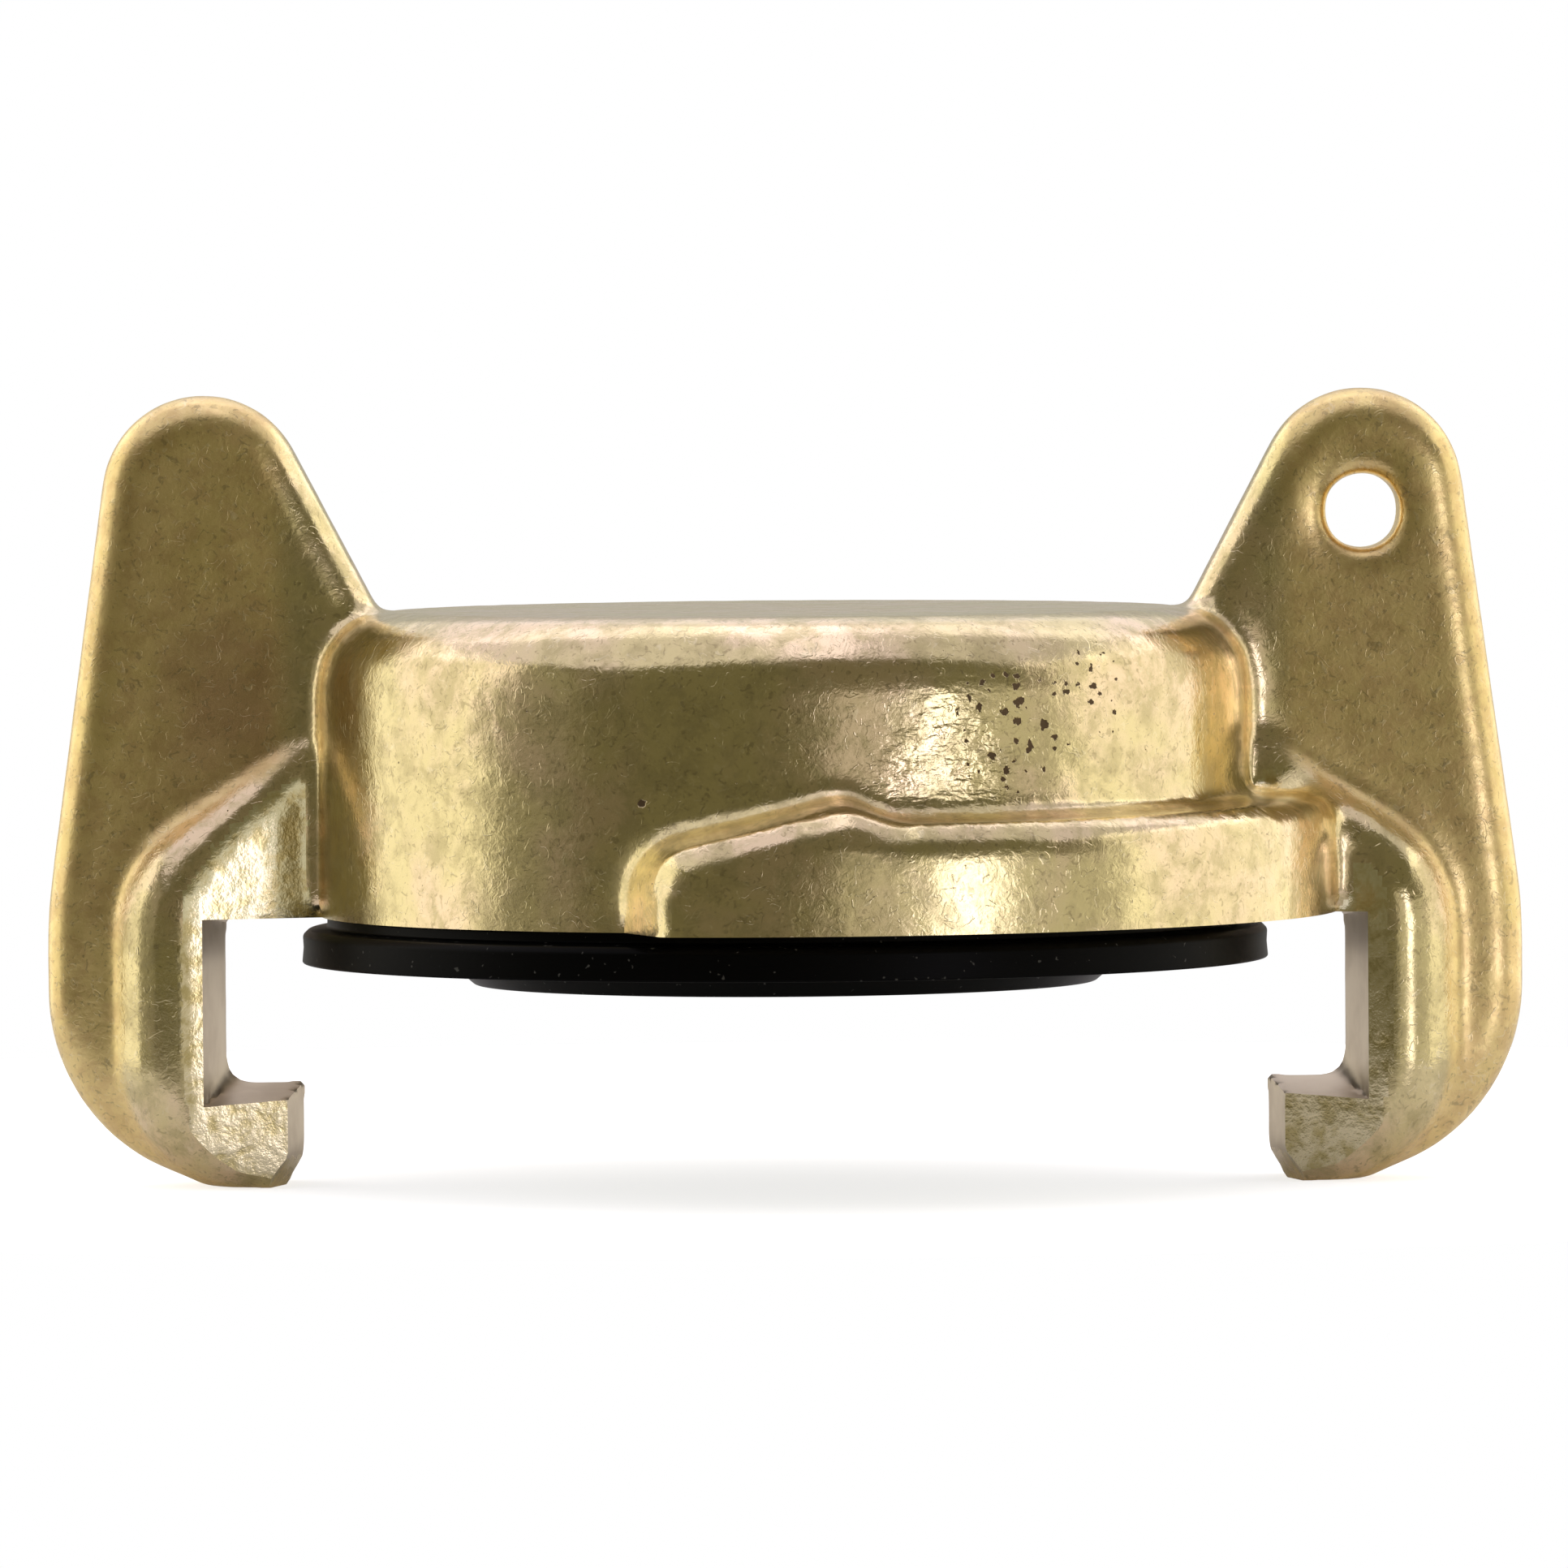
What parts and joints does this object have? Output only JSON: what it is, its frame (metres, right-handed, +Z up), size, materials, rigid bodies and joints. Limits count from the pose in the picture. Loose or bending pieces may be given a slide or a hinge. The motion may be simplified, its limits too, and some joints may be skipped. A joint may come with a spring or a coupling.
{
  "type": "claw coupling blanking cap",
  "caption": "Forged brass blanking cap of a claw hose coupling, with hook claws, twist ramps, finger fins, a hole for a safety chain and a snap-in rubber seal ring.",
  "frame": {"origin": "on the cap's axis, in the plane of the claws' feet", "axes": "+Z up along the cap's axis, from the claws' feet to the closed top; X across the two claws, with the fin that has the chain hole at +X; Y in the direction in which the forging dies open"},
  "size_m": [0.0612, 0.046, 0.0328],
  "materials": {
    "brass": "satin drop-forged surface with a fine wrinkle, machined claw slots",
    "rubber": "smooth moulded black rubber with a soft sheen"
  },
  "bodies": {
    "root": {"coupling_body": "brass", "rubber_seal": "rubber"}
  },
  "joints": []
}
